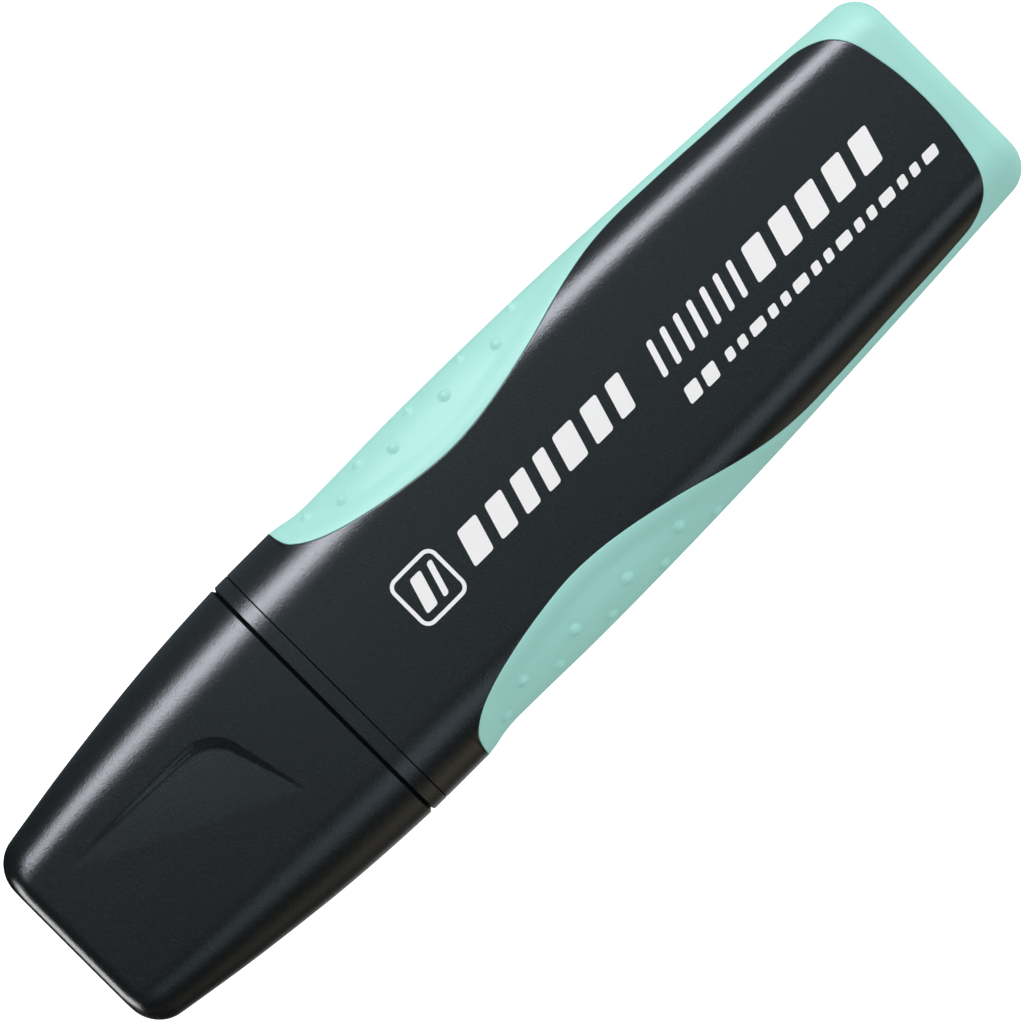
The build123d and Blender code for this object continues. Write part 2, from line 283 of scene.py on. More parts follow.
# %% [markdown]
# Where the dark panels end and the mint begins is one curve on each quarter of the barrel. Seen from the
# side it starts as the upright front edge of the grip, sweeps in to the waist, out again, and round the
# panel's square tail. It could be cut into a finished barrel with a boolean, but that leaves ragged
# triangles along the line that the eye follows. Here it is kept as places along it, each with its station
# and its distance round the section, and the grids of both mouldings take one row from each place. So the
# edge is a line of the mesh, as sharp as the mould makes it.

# %% Edge between panel and grip
PANEL_EDGE = [(38.05, 11.8), (39, 10.95), (40, 10.35), (42, 9.55), (45, 8.75), (49, 8.0), (54, 7.53),
              (57, 7.69), (60, 8.125), (63, 8.74), (66, 9.46), (69, 10.32), (72, 11.08), (75, 11.6),
              (78, 11.79), (82, 11.69), (90, 11.27), (97, 10.93), (99.3, 10.72), (101, 10.17),
              (102, 9.57), (103, 8.34), (104, 4.67)]
FRONT_SWEEP = [(0.0, 0.0), (1.7, 0.025), (3.4, 0.10), (5.4, 0.25)]
GRIP_FRONT = 37.5
EDGE_STEP = 0.42
LEAST_STEP = 0.001


def around_at(station, y):
    """Distance round the barrel's section to the point that is y from the middle, as seen from the face."""
    half_width, _, flank = outside(station, BODY_WIDTH)
    lean = face_lean(half_width, flank)
    on_face = y < CROWN * np.sin(lean)
    angle = np.arcsin(np.clip((y - (CROWN - flank) * np.sin(lean)) / flank, -1, 1))
    over_face = CROWN * np.arcsin(np.minimum(y, 20) / CROWN)
    return np.where(on_face, over_face, CROWN * lean + flank * (angle - lean))


def barrel_quarter(station):
    """Distance round a quarter of the barrel's section."""
    return quarter_round(*outside(station, BODY_WIDTH))


panel_station, panel_half = np.array(PANEL_EDGE, float).T
front_side = float(barrel_quarter(GRIP_FRONT))
below, behind = np.array(FRONT_SWEEP).T
nodes_t = np.concatenate([GRIP_FRONT + behind, panel_station, [PANEL_REAR]])
nodes_s = np.concatenate([front_side - below, around_at(panel_station, panel_half), [0.0]])
run = np.concatenate([[0], np.cumsum(np.hypot(np.diff(nodes_t), np.diff(nodes_s)))])
places = np.linspace(0, run[-1], int(run[-1] / EDGE_STEP))
edge_t = curve_through(np.column_stack([run, nodes_t]), places)
edge_s = curve_through(np.column_stack([run, nodes_s]), places)
least_step = LEAST_STEP * np.arange(len(edge_t))
edge_t = np.maximum.accumulate(edge_t - least_step) + least_step
edge_s = np.clip(edge_s, 0, None)
edge_lean = np.hypot(1, np.gradient(edge_s, edge_t))
print("edge places", len(edge_t), "from station", round(edge_t[0], 2), "to", round(edge_t[-1], 2))

# %% [markdown]
# The barrel. Its panels stand 1.1 mm above the core that the mint frame covers, so one ring of columns runs
# over the upper panel, down its edge, round the core, and over the lower panel. The outside, the mouth and
# the long pocket for the ink reservoir are rows of that one ring, which makes the barrel a single closed
# shell. A tiny round on the panel's edge gives the fine dark line that separates the two plastics.

# %% Columns across a panel and round the core
EDGE_ROUND = 0.07
EDGE_STEPS = np.array([0.0, 0.012, 0.035, 0.08, 0.16])
EDGE_SHARE = 0.06
EDGE_FADE = 0.5
GRIP_WALL = 1.1
PANEL_COLUMNS = 30
CORE_COLUMNS = 22


def edge_columns(lean, span, count):
    """Distances in from an edge: a few close to it for its small round, then even ones out to the span.

    The close ones are stretched by the edge's lean so that they lie square to it, and limited to a share of
    the span.
    """
    lean, span = lean[:, None], span[:, None]
    close = np.minimum(EDGE_STEPS * lean, EDGE_SHARE * np.arange(len(EDGE_STEPS)) * span)
    even = np.linspace(0, 1, count + 1)[1:]
    return np.hstack([close, close[:, -1:] + (span - close[:, -1:]) * even])


def edge_depth(steps):
    """How far the small round on an edge falls back, for the close columns, and nothing for the rest."""
    fall = np.zeros(steps)
    fall[: len(EDGE_STEPS)] = rounding(EDGE_STEPS, EDGE_ROUND)
    return fall


def barrel_ring(station, panel, lean, core_inset, edge_round=1.0):
    """Columns of the barrel's outside at each row: (distance round, inset), for all four spans of the ring.

    The spans are the upper panel, the core on the +Y side, the lower panel, and the core on the -Y side.
    The edge's small round fades out where the panel is narrow.
    """
    quarter = barrel_quarter(station)
    inward = edge_columns(lean, panel, PANEL_COLUMNS)
    fall = edge_depth(inward.shape[1]) * edge_round * ease(panel, 0.0, EDGE_FADE)[:, None]
    half_around = panel[:, None] - inward[:, ::-1]
    half_fall = fall[:, ::-1]
    share = np.linspace(0, 1, CORE_COLUMNS)
    core_around = panel[:, None] + (2 * quarter - 2 * panel)[:, None] * share
    core_inset = np.broadcast_to(np.asarray(core_inset, float).reshape(-1, 1), core_around.shape)
    lower_around = 2 * quarter[:, None] - half_around[:, ::-1]
    right = np.hstack([half_around, core_around, lower_around])
    depth = np.hstack([half_fall, core_inset, half_fall[:, ::-1]])
    return np.hstack([right, -right[:, ::-1]]), np.hstack([depth, depth[:, ::-1]])


def barrel_points(station, around, inset):
    """Points of the barrel's skin from station, distance round and inset."""
    half_width, half_depth, flank = (v[:, None] for v in outside(station, BODY_WIDTH))
    y, z, _, _ = section(half_width, half_depth, flank, around, inset)
    return stack(station[:, None], y, z)


# %% Barrel: outside, mouth and pocket as one ring grid
MOUTH_BEVEL = (0.06, 0.12)
POCKET_INSET = 2.4
POCKET_REAR = PANEL_REAR - 1.5

bevel_rows = [COLLAR_REAR, COLLAR_REAR + MOUTH_BEVEL[0]]
front_rows = np.concatenate([bevel_rows, np.linspace(COLLAR_REAR + 0.3, GRIP_FRONT, 14)])
upright = np.ones(len(front_rows))
front_around, front_inset = barrel_ring(front_rows, barrel_quarter(front_rows), upright, 0.0, 0.0)
front_inset[0] = MOUTH_BEVEL[1]
outer_front = barrel_points(front_rows, front_around, front_inset)

side_around, side_inset = barrel_ring(edge_t, edge_s, edge_lean, GRIP_WALL)
outer_rear = barrel_points(edge_t, side_around, side_inset)
end_wall = barrel_points(edge_t[-1:], side_around[-1:], GRIP_WALL)
end_pole = pole(PANEL_REAR, end_wall)

pocket_rows = np.linspace(COLLAR_REAR, POCKET_REAR, 24)
pocket_around, _ = barrel_ring(pocket_rows, barrel_quarter(pocket_rows), np.ones(len(pocket_rows)), 0.0, 0.0)
pocket = barrel_points(pocket_rows, pocket_around, POCKET_INSET)[::-1]
pocket_pole = pole(POCKET_REAR, pocket[:1])
barrel_rows = [pocket_pole, pocket, outer_front, outer_rear, end_wall, end_pole]
make_piece("barrel_shell", [np.concatenate(barrel_rows)])

# %% [markdown]
# The mint frame. Between the panels' edges each grip is scooped: it starts flush with the panel, falls into
# a shallow valley beside it, and stays low across the narrow side. The scoop starts sharply behind the
# front edge and fades out half way to the tail. Raised nubs stand on it. Each nub is a small round patch of
# the same surface, lifted by a bump that meets it flat at its rim, so it looks moulded in one piece with
# the grip.

# %% Scoop of the grips
SCOOP_SIDE = [(37.5, 0.0), (38.3, 0.09), (39.4, 0.33), (41, 0.5), (43, 0.49), (46, 0.41), (50, 0.27),
              (57, 0.12), (66, 0.0), (107, 0.0)]
SCOOP_VALLEY = [(37.5, 0.0), (39, 0.2), (41.5, 0.48), (46, 0.62), (54, 0.62), (62, 0.5), (69, 0.28),
                (76, 0.06), (80, 0.0), (107, 0.0)]
VALLEY_REACH = 2.5
SHOULDER_START = 1.5
SHOULDER_REACH = 6.5


def grip_skin(station, around):
    """Points on the outer surface of the grips and tail, and their outward directions in the section.

    The depth of the scoop grows with the distance from the panel's edge, as an S over the valley's reach.
    From there it changes, over the shoulder's reach, from the valley's depth to the depth on the narrow
    side.
    """
    half_width, half_depth, flank = outside(station, BODY_WIDTH)
    quarter = quarter_round(half_width, half_depth, flank)
    edge = np.interp(station, edge_t, edge_s)
    lean = np.clip(np.interp(station, edge_t, edge_lean), 1, 2)
    from_edge = (quarter - np.abs(np.abs(around) - quarter) - edge) / lean
    shoulder = ease(from_edge, SHOULDER_START, SHOULDER_REACH)
    valley, side = curve_through(SCOOP_VALLEY, station), curve_through(SCOOP_SIDE, station)
    scoop = ease(from_edge, 0.0, VALLEY_REACH) * (valley * (1 - shoulder) + side * shoulder)
    y, z, out_y, out_z = section(half_width, half_depth, flank, around)
    return stack(station, y - scoop * out_y, z - scoop * out_z), out_y, out_z


for place, line in (("valley", SCOOP_VALLEY), ("narrow side", SCOOP_SIDE)):
    print("deepest scoop,", place, max(depth for _, depth in line), "mm")

# %% Grip frame: both sides and the tail
GAP = 0.012
GRIP_COLUMNS = 44
INNER_COLUMNS = 20


def grip_columns(station, edge, lean):
    """Distances round the section across one side of the frame, edge to edge, and the small round's depth.

    The frame starts a hair's breadth beside the panel, or less where there is no room for that.
    """
    quarter = barrel_quarter(station)
    start = edge + np.minimum(np.minimum(GAP * lean, 0.5 * edge), 0.02 * (quarter - edge))
    inward = edge_columns(lean, quarter - start, GRIP_COLUMNS)
    fall = np.broadcast_to(edge_depth(inward.shape[1]), inward.shape)
    upper = start[:, None] + inward
    return (
        np.hstack([upper, (2 * quarter[:, None] - upper)[:, -2::-1]]),
        np.hstack([fall, fall[:, -2::-1]]),
    )


around, fall = grip_columns(edge_t, edge_s, edge_lean)
fall = fall * ease(edge_t, GRIP_FRONT, GRIP_FRONT + 0.2)[:, None]
skin, out_y, out_z = grip_skin(edge_t[:, None], around)
skin = skin - np.stack([0 * fall, fall * out_y, fall * out_z], axis=-1)
share = np.linspace(0, 1, INNER_COLUMNS)
inner_around = around[:, -1:] + (around[:, :1] - around[:, -1:]) * share
inner = barrel_points(edge_t, inner_around, GRIP_WALL - GAP)
right_side = np.concatenate([skin, inner], axis=1)

TAIL_ROWS = 46
tail_share = np.sin(np.linspace(0, math.pi / 2, TAIL_ROWS))
tail_rows = edge_t[-1] + (LENGTH - edge_t[-1]) * tail_share
tail_quarter = barrel_quarter(tail_rows)
tail_around = around[-1] / around[-1, -1] * 2 * tail_quarter[:, None]
tail, _, _ = grip_skin(tail_rows[:, None], tail_around)
tail[0] = skin[-1]
tail_face = tail[-1:] + (pole(LENGTH, tail[:1]) - tail[-1:]) * np.linspace(0, 1, 6)[1:, None, None]
tail_floor = np.concatenate([inner[-1:], pole(edge_t[-1], inner[-1:])])
print("rows on a grip", len(edge_t), "columns", around.shape[1])

# %% [markdown]
# The nubs stand in two staggered rows on each flank of each grip. A nub's grid is polar: rings from its
# middle to its rim and a fixed number of spokes. Its height falls off as one minus the squared distance, to
# a power that makes it domed on top and nearly flat at the rim.

# %% Nubs
NUB_PITCH = 6.34
NUB_ROWS = [(12.66, 41.0, 5), (11.45, 44.15, 4)]
NUB_REACH = 0.72
NUB_HEIGHT = 0.36
NUB_SINK = 0.012
NUB_SHAPE = 1.6
NUB_ROOT = 0.3
NUB_RINGS = 11
NUB_SPOKES = 24


def nub_grid(station, y, lower):
    """One nub: a polar patch of the grip's skin, lifted into a dome, and closed by a point below the skin."""
    centre = around_at(station, y)
    if lower:
        centre = 2 * barrel_quarter(station) - centre
    ring = np.linspace(0, 1, NUB_RINGS)[:, None]
    turn = np.linspace(0, 2 * math.pi, NUB_SPOKES, endpoint=False)
    at, around = station + NUB_REACH * ring * np.cos(turn), centre + NUB_REACH * ring * np.sin(turn)
    points, out_y, out_z = grip_skin(at, around)
    lift = NUB_HEIGHT * (1 - ring**2) ** NUB_SHAPE - NUB_SINK
    points = points + np.stack([0 * out_y, lift * out_y, lift * out_z], axis=-1)
    middle = points[-1].mean(axis=0)
    inwards = np.array([0.0, -out_y[0, 0], -out_z[0, 0]]) * NUB_ROOT
    return np.concatenate([points, np.broadcast_to(middle + inwards, points[:1].shape)])


nubs = [
    nub_grid(first + k * NUB_PITCH, y, lower)
    for y, first, count in NUB_ROWS
    for k in range(count)
    for lower in (False, True)
]
print("nubs on each side", len(nubs))

# %% Join both sides of the grip frame
MIRROR = np.array([1.0, -1.0, 1.0])


def whole_round(half):
    """A ring from its half on the +Y side: the same columns follow backwards, with the sign of Y turned."""
    return np.concatenate([half, half[:, -2:0:-1] * MIRROR], axis=1)


tail_cup = [whole_round(np.concatenate([tail, tail_face])), whole_round(tail_floor)]
nubs += [nub * MIRROR for nub in nubs]
make_piece("grip_frame_shell", [right_side, right_side * MIRROR, *tail_cup, *nubs])

# %% [markdown]
# The cap is a box with one open end. On each face a hooked recess gives the thumb something to push: a
# tilted floor that is flush along one diagonal and deepest under the bend of its edge. The edge is two
# straight lines joined by an arc. From it the wall falls at a steady slope, steeper on the side leg than on
# the end leg, and eases into the floor. The recess is a height taken off the face, so it needs no cutting
# tool, and its rim is as soft as the moulded one.

# %% Recess of the cap
HOOK_SIDE = 5.3
HOOK_START = 4.2
HOOK_CORNER = 22.2
HOOK_END = (24.3, 4.6)
HOOK_RADIUS = 3.6
HOOK_DEPTH = 0.42
HOOK_SLOPES = (0.80, 0.50)
HOOK_FLOOR_POWER = 1.25
HOOK_EASE = 0.25
HOOK_TURN = 0.4


def hook_recess(station, y):
    """Depth of the recess in the upper face, at a station and a place across the face.

    inside is the distance in from the nearest of the side leg, the end leg and the arc between them. The
    floor's depth is a power of the distance from the flush diagonal, as a share of that distance under the
    bend. The wall's depth is its slope times inside. Near the floor the wall loses the square of what it
    has passed the start of its easing by, so it arrives level.
    """
    along = np.array([HOOK_END[0] - HOOK_CORNER, HOOK_END[1] + HOOK_SIDE])
    along = along / np.hypot(*along)
    to_side = y + HOOK_SIDE
    to_end = (HOOK_CORNER - station) * along[1] + (y + HOOK_SIDE) * along[0]
    half_turn = math.acos(-along[0]) / 2
    tangent = HOOK_RADIUS / math.tan(half_turn)
    centre = (HOOK_CORNER - tangent, HOOK_RADIUS - HOOK_SIDE)
    beyond_side = station > centre[0]
    beyond_end = (station - centre[0]) * along[0] + (y - centre[1]) * along[1] < 0
    to_arc = HOOK_RADIUS - np.hypot(station - centre[0], y - centre[1])
    inside = np.where(beyond_side & beyond_end, to_arc, np.minimum(to_side, to_end))
    diagonal = np.array([HOOK_END[0] - HOOK_START, HOOK_END[1] + HOOK_SIDE])
    diagonal = diagonal / np.hypot(*diagonal)
    from_diagonal = (station - HOOK_START) * diagonal[1] - (y + HOOK_SIDE) * diagonal[0]
    deepest = (HOOK_CORNER - 1.0 - HOOK_START) * diagonal[1] - 1.0 * diagonal[0]
    floor = HOOK_DEPTH * np.clip(from_diagonal / deepest, 1e-6, 1.2) ** HOOK_FLOOR_POWER
    towards_end = ease(station - HOOK_TURN * y, centre[0], centre[0] + HOOK_RADIUS)
    slope = HOOK_SLOPES[0] + (HOOK_SLOPES[1] - HOOK_SLOPES[0]) * towards_end
    fall = np.clip(inside * slope / floor, 0, 1 + HOOK_EASE)
    return floor * (fall - np.clip(fall - (1 - HOOK_EASE), 0, None) ** 2)


print("recess under the bend:", round(float(hook_recess(HOOK_CORNER - 3.0, 3.0 - HOOK_SIDE)), 2), "mm deep")

# %% Cap shell
CAP_COLUMNS = 260
RIM_BEVEL = (0.20, 0.34)
CAP_WALL = 1.5
CAP_FLOOR = 1.6
CAP_BOW = 0.1
CAP_ROW_STEP = 0.135
POCKET_FRONT = END_CORNER + 0.5
POCKET_TAPER = 0.1


def ring_around(station, width, columns):
    """Columns all round the section at each row, closest at the middle of each face.

    The distance from the face's middle grows as 0.6 times the column's share of the quarter plus 0.4 times
    its cube.
    """
    quarter = quarter_round(*outside(station, width))
    share = np.linspace(-2, 2, columns, endpoint=False)
    from_face = 1 - np.abs(np.abs(share) - 1)
    spread = 0.6 * from_face + 0.4 * from_face**3
    return np.sign(share) * np.where(np.abs(share) < 1, spread, 2 - spread) * quarter[:, None]


end_rows = END_CORNER * np.linspace(0, 1, 20) ** 2
face_rows = np.arange(END_CORNER + CAP_ROW_STEP, CAP_RIM - RIM_BEVEL[0] - 0.05, CAP_ROW_STEP)
rows = np.concatenate([end_rows, face_rows, [CAP_RIM - RIM_BEVEL[0], CAP_RIM]])
inset = np.where(rows == CAP_RIM, RIM_BEVEL[1], 0.0)
half_width, half_depth, flank = (v[:, None] for v in outside(rows, CAP_WIDTH))
cap_around = ring_around(rows, CAP_WIDTH, CAP_COLUMNS)
y, z, out_y, out_z = section(half_width, half_depth, flank, cap_around, inset[:, None])
recess = hook_recess(rows[:, None], y * np.sign(z)) * (out_z**2 > 0.25)
bowed = rows[:, None] + CAP_BOW * (1 - rows[:, None] / END_CORNER).clip(0, 1) ** 2
outer = stack(bowed, y, z - recess * np.sign(z))
centre = pole(0.0, outer[:1])
bow_share = np.linspace(0, 1, 8)[:-1, None, None]
end_face = centre + (outer[:1] - centre) * bow_share
end_face[..., 0] = centre[..., 0] + (outer[:1, :, 0] - centre[..., 0]) * bow_share[..., 0] ** 2

inner_rows = np.concatenate([[CAP_RIM, CAP_RIM - 0.25], np.linspace(CAP_RIM - 1, CAP_FLOOR, 24)])
like_rows = np.maximum(inner_rows, POCKET_FRONT)
half_width, half_depth, flank = (v[:, None] for v in outside(like_rows, CAP_WIDTH))
thin = POCKET_TAPER * (like_rows - inner_rows)[:, None]
wall = np.full((len(inner_rows), 1), CAP_WALL)
wall[0] = CAP_WALL - 0.15
cap_around = ring_around(like_rows, CAP_WIDTH, CAP_COLUMNS)
y, z, _, _ = section(half_width, half_depth - thin, flank, cap_around, wall)
inner = stack(inner_rows[:, None], y, z)
make_piece("cap_outer", [np.concatenate([end_face, outer, inner, pole(CAP_FLOOR, inner[:1])])], sharp=50.0)

# %% [markdown]
# The pieces that show when the cap is off are turned or squared forms along one axis. They could each be a
# stack of primitives joined with booleans, but a list of sections is shorter and closes by itself. One
# function lofts them all: a section is a station, a half width, a half depth and a corner radius, and a
# circle has all three sizes equal.

# %% Loft through sections
LOFT_COLUMNS = 96


def loft(sections, columns=LOFT_COLUMNS):
    """Ring grid through (station, half width, half depth, corner radius) sections, closed at both ends."""
    station, half_width, half_depth, corner = (np.array(v, float)[:, None] for v in zip(*sections))
    around = np.linspace(-2, 2, columns, endpoint=False) * quarter_round(half_width, half_depth, corner)
    y, z, _, _ = section(half_width, half_depth, corner, around)
    grid = stack(station, y, z)
    return np.concatenate([pole(station[0, 0], grid[:1]), grid, pole(station[-1, 0], grid[:1])])


def inset_sections(width, places):
    """Sections of the outside shape at (station, inset) places."""
    found = []
    for at, inset in places:
        half_width, half_depth, flank = outside(np.array([at]), width)
        found.append((at, half_width[0] - inset, half_depth[0] - inset, flank[0] - inset))
    return found


# %% [markdown]
# The front section plugs the barrel. From the rear it has a skirt that fits in the barrel, the collar that
# shows as a band, the spigot that the cap sits on, the round land that the sealing cup closes on, and the
# neck round the nib. The collar's front and the cap's rim both have steep bevels, so the seam between them
# reads as a fine dark line.

# %% Front section: skirt, collar, spigot, land and neck
COLLAR_FRONT = CAP_RIM + 0.03
SPIGOT_FRONT = 24.9
LAND_FRONT = 20.8
LAND_RADIUS = 5.3
NECK_RADII = (3.9, 5.0)
NIB_HALF = (2.5, 1.9, 0.5)
SPIGOT_INSET = 1.62
SKIRT_INSET = 2.45

skirt = inset_sections(BODY_WIDTH, [(SKIRT_REAR - 3, 3.9), (SKIRT_REAR, 3.9), (SKIRT_REAR, SKIRT_INSET + 0.2),
                                    (SKIRT_REAR - 0.3, SKIRT_INSET), (COLLAR_REAR, SKIRT_INSET)])
collar = inset_sections(BODY_WIDTH, [(COLLAR_REAR - 0.01, MOUTH_BEVEL[1]),
                                     (COLLAR_REAR - 0.01 - MOUTH_BEVEL[0], 0.0), (COLLAR_REAR - 0.5, 0.0),
                                     (COLLAR_FRONT + 0.5, 0.0),
                                     (COLLAR_FRONT + RIM_BEVEL[0], 0.0), (COLLAR_FRONT, RIM_BEVEL[1])])
spigot = inset_sections(CAP_WIDTH, [(COLLAR_FRONT, SPIGOT_INSET), (COLLAR_FRONT - 0.2, SPIGOT_INSET),
                                    (28, SPIGOT_INSET), (25.5, SPIGOT_INSET), (25.1, SPIGOT_INSET + 0.1),
                                    (SPIGOT_FRONT, SPIGOT_INSET + 0.4)])


def circle(at, radius):
    """A round section."""
    return (at, radius, radius, radius)


neck = [circle(SPIGOT_FRONT, LAND_RADIUS + 0.3), circle(SPIGOT_FRONT - 0.1, LAND_RADIUS + 0.1),
        circle(SPIGOT_FRONT - 0.3, LAND_RADIUS), circle(LAND_FRONT + 0.25, LAND_RADIUS),
        circle(LAND_FRONT + 0.05, LAND_RADIUS - 0.1), circle(LAND_FRONT, NECK_RADII[1] + 0.05),
        circle(LAND_FRONT - 0.3, NECK_RADII[1] - 0.05), circle(NECK_FRONT + 0.5, NECK_RADII[0] + 0.1),
        circle(NECK_FRONT + 0.12, NECK_RADII[0] - 0.08), circle(NECK_FRONT, NECK_RADII[0] - 0.35)]
bore = [(NECK_FRONT, NIB_HALF[0] + 0.12, NIB_HALF[1] + 0.12, NIB_HALF[2] + 0.1),
        (NECK_FRONT + 0.15, NIB_HALF[0] + 0.02, NIB_HALF[1] + 0.02, NIB_HALF[2]),
        (NECK_FRONT + 6, NIB_HALF[0] + 0.02, NIB_HALF[1] + 0.02, NIB_HALF[2])]
make_piece("front_section", [loft(skirt + collar + spigot + neck + bore, 160)])

# %% [markdown]
# The sealing cup keeps the nib from drying. It is a thin round cup of undyed plastic, pressed into the
# cap's closed end. Its mouth closes on the front section's land, so its bore is that land's radius and a
# little more.

# %% Sealing cup in the cap
CUP_WALL = 0.8
CUP_END = 4.75
CUP_SEAL_FRONT = 20.2
CUP_SEAL = LAND_RADIUS + 0.05

cup_outside = [circle(MOUTH_FRONT, CUP_END + 0.3), circle(MOUTH_FRONT + 0.3, CUP_END + CUP_WALL),
               circle(CUP_SEAL_FRONT, CUP_SEAL + CUP_WALL), circle(MOUTH_REAR - 0.2, CUP_SEAL + CUP_WALL),
               circle(MOUTH_REAR, CUP_SEAL + CUP_WALL - 0.2)]
cup_inside = [circle(MOUTH_REAR, CUP_SEAL + 0.2), circle(MOUTH_REAR - 0.3, CUP_SEAL),
              circle(CUP_SEAL_FRONT, CUP_SEAL), circle(MOUTH_FRONT + CUP_WALL + 0.5, CUP_END),
              circle(MOUTH_FRONT + CUP_WALL, CUP_END - 0.5)]
make_piece("sealing_cup", [loft(cup_outside + cup_inside)])

# %% [markdown]
# The nib is a bar of bonded fibre, cut on a slant across and bevelled above and below to a blunt writing
# edge. The loft makes the bar with its bevels, and then the points near the tip are moved back in
# proportion to their place across it, which slants the edge and keeps its small round.

# %% Chisel nib
CHISEL_SLANT = 2.6
CHISEL_BEVEL = 5.8
NIB_EDGE = 1.0
NIB_ROUND = 0.35
NIB_LENGTH = 24.0

nib_along = np.concatenate([NIB_ROUND * np.linspace(0, 1, 6) ** 2, np.linspace(0.5, CHISEL_BEVEL, 14),
                            np.linspace(CHISEL_BEVEL + 0.4, NIB_LENGTH, 24)])
nib_depth = NIB_EDGE + (NIB_HALF[1] - NIB_EDGE) * np.clip(nib_along / CHISEL_BEVEL, 0, 1)
nib_cut = rounding(nib_along, NIB_ROUND)
nib_rows = [(NIB_FRONT + at, NIB_HALF[0] - cut, depth - cut, max(NIB_HALF[2] - cut * 0.5, 0.2))
            for at, depth, cut in zip(nib_along, nib_depth, nib_cut)]
nib_grid = loft(nib_rows, 72)
from_tip = cad_high.x / MM - nib_grid[..., 0] - NIB_FRONT
lead = CHISEL_SLANT * (nib_grid[..., 1] + NIB_HALF[0]) / (2 * NIB_HALF[0])
nib_grid[..., 0] -= lead * (1 - from_tip / NIB_LENGTH)
make_piece("nib_chisel", [nib_grid])

# %% [markdown]
# The print is white ink, pad-printed on the upper panel. It is a plain set of slanted bars, some thick and
# some thin, like samples of the lines that the pen draws, with a row of small dashes beside it and two bars
# in a frame in front. It could be a mask in the panel's material, but a mesh gives it a crisp edge at any
# distance. Each bar is a thin tile with rounded corners: the outline of a rounded rectangle, sheared,
# closed to its middle above and below.

# %% Printed bars
SLANT = 0.30
INK_CORNER = 0.22
INK_COLUMNS = 48
ABOVE_AND_BELOW = np.array([1, 1, -1, -1])[:, None]


def on_face(flat, side):
    """Points of the ink from (station, y) pairs: the crowned face's height, plus or minus the ink."""
    face = HALF_DEPTH - CROWN + np.sqrt(CROWN**2 - flat[..., 1] ** 2)
    return stack(flat[..., 0], flat[..., 1], face + INK * side)


def bar(station, y, width, height):
    """A slanted tile of ink: a rounded rectangle, moved along the pen in proportion to its height."""
    corner = min(INK_CORNER, 0.45 * min(width, height))
    around = np.linspace(-2, 2, INK_COLUMNS, endpoint=False) * quarter_round(width / 2, height / 2, corner)
    along, up, _, _ = section(width / 2, height / 2, corner, around)
    outline = np.stack([station + along + SLANT * up, y - up], axis=-1)
    middle = np.broadcast_to([station, y], outline.shape)
    return on_face(np.stack([middle, outline, outline, middle]), ABOVE_AND_BELOW)


def bar_run(start, widths, gap, y, height):
    """Bars side by side from a start station, each with its own width."""
    widths = np.array(widths, float)
    middles = start + np.cumsum(widths) - widths / 2 + gap * np.arange(len(widths))
    return [bar(at, y, width, height) for at, width in zip(middles, widths)]


def swatch_frame(station, y, size, line):
    """A square frame of ink with rounded corners: outlines at its outer and inner edge, above and below."""
    around = np.linspace(-2, 2, INK_COLUMNS * 2, endpoint=False)
    rings = []
    for half, corner in ((size / 2, 1.0), (size / 2 - line, 1.0 - line)):
        along, up, _, _ = section(half, half, corner, around * quarter_round(half, half, corner))
        rings.append(np.stack([station + along, y - up], axis=-1))
    outer_ring, inner_ring = rings
    loop = np.stack([outer_ring, inner_ring, inner_ring, outer_ring, outer_ring])
    return on_face(loop, np.concatenate([ABOVE_AND_BELOW, ABOVE_AND_BELOW[:1]]))


PRINT_LINE = -0.45
DASH_LINE = 3.75
bars = [swatch_frame(44.1, PRINT_LINE, 5.3, 0.36)]
bars += [bar(43.55, PRINT_LINE, 1.3, 3.2), bar(45.25, PRINT_LINE, 0.6, 3.2)]
bars += bar_run(48.7, [2.3, 2.0, 1.7, 1.4, 2.3, 2.0, 1.7], 1.05, PRINT_LINE, 3.3)
bars += bar_run(71.8, [0.62] * 7, 1.0, PRINT_LINE, 3.3)
bars += bar_run(83.4, [2.2] * 5, 1.05, PRINT_LINE, 3.3)
bars += bar_run(71.6, [1.5, 1.5], 0.6, DASH_LINE, 1.5)
bars += bar_run(76.4, [0.9, 0.9, 1.6] * 5, 0.62, DASH_LINE, 1.0)
make_piece("print_bars", bars)

# %% [markdown]
# Finishes. The black mouldings come from a spark-eroded tool, which leaves an even, very fine grain: it
# sparkles where a highlight fades out and looks plain elsewhere. The mint frame is from a polished tool and
# looks satin. Both share faint streaks of colour, where the melt flowed, and a trace of handling and dust.
# Effects that several plastics share are node groups with their own inputs, so each material places them
# with its own numbers.


# %% Helpers for shader nodes
def new_group(name, inputs, outputs):
    """An empty shader node group with float or colour sockets, and its input and output nodes."""
    group = bpy.data.node_groups.new(name, "ShaderNodeTree")
    for socket, kind, value in inputs:
        made = group.interface.new_socket(name=socket, in_out="INPUT", socket_type=kind)
        made.default_value = value
    for socket, kind in outputs:
        group.interface.new_socket(name=socket, in_out="OUTPUT", socket_type=kind)
    return group, group.nodes.new("NodeGroupInput"), group.nodes.new("NodeGroupOutput")


def feed(tree, socket, value):
    """Sets an input to a number, or links it to another node's output."""
    if isinstance(value, (int, float)):
        socket.default_value = value
    else:
        tree.links.new(value, socket)


def math_node(tree, operation, *values):
    """A math node whose inputs are sockets or numbers."""
    node = tree.nodes.new("ShaderNodeMath")
    node.operation = operation
    for socket, value in zip(node.inputs, values):
        feed(tree, socket, value)
    return node.outputs[0]


def noise_node(tree, scale, detail, roughness, vector):
    """Noise on a vector socket, with its scale given as a number or a socket."""
    node = tree.nodes.new("ShaderNodeTexNoise")
    node.inputs["Detail"].default_value = detail
    node.inputs["Roughness"].default_value = roughness
    feed(tree, node.inputs["Scale"], scale)
    tree.links.new(vector, node.inputs["Vector"])
    return node.outputs["Fac"]


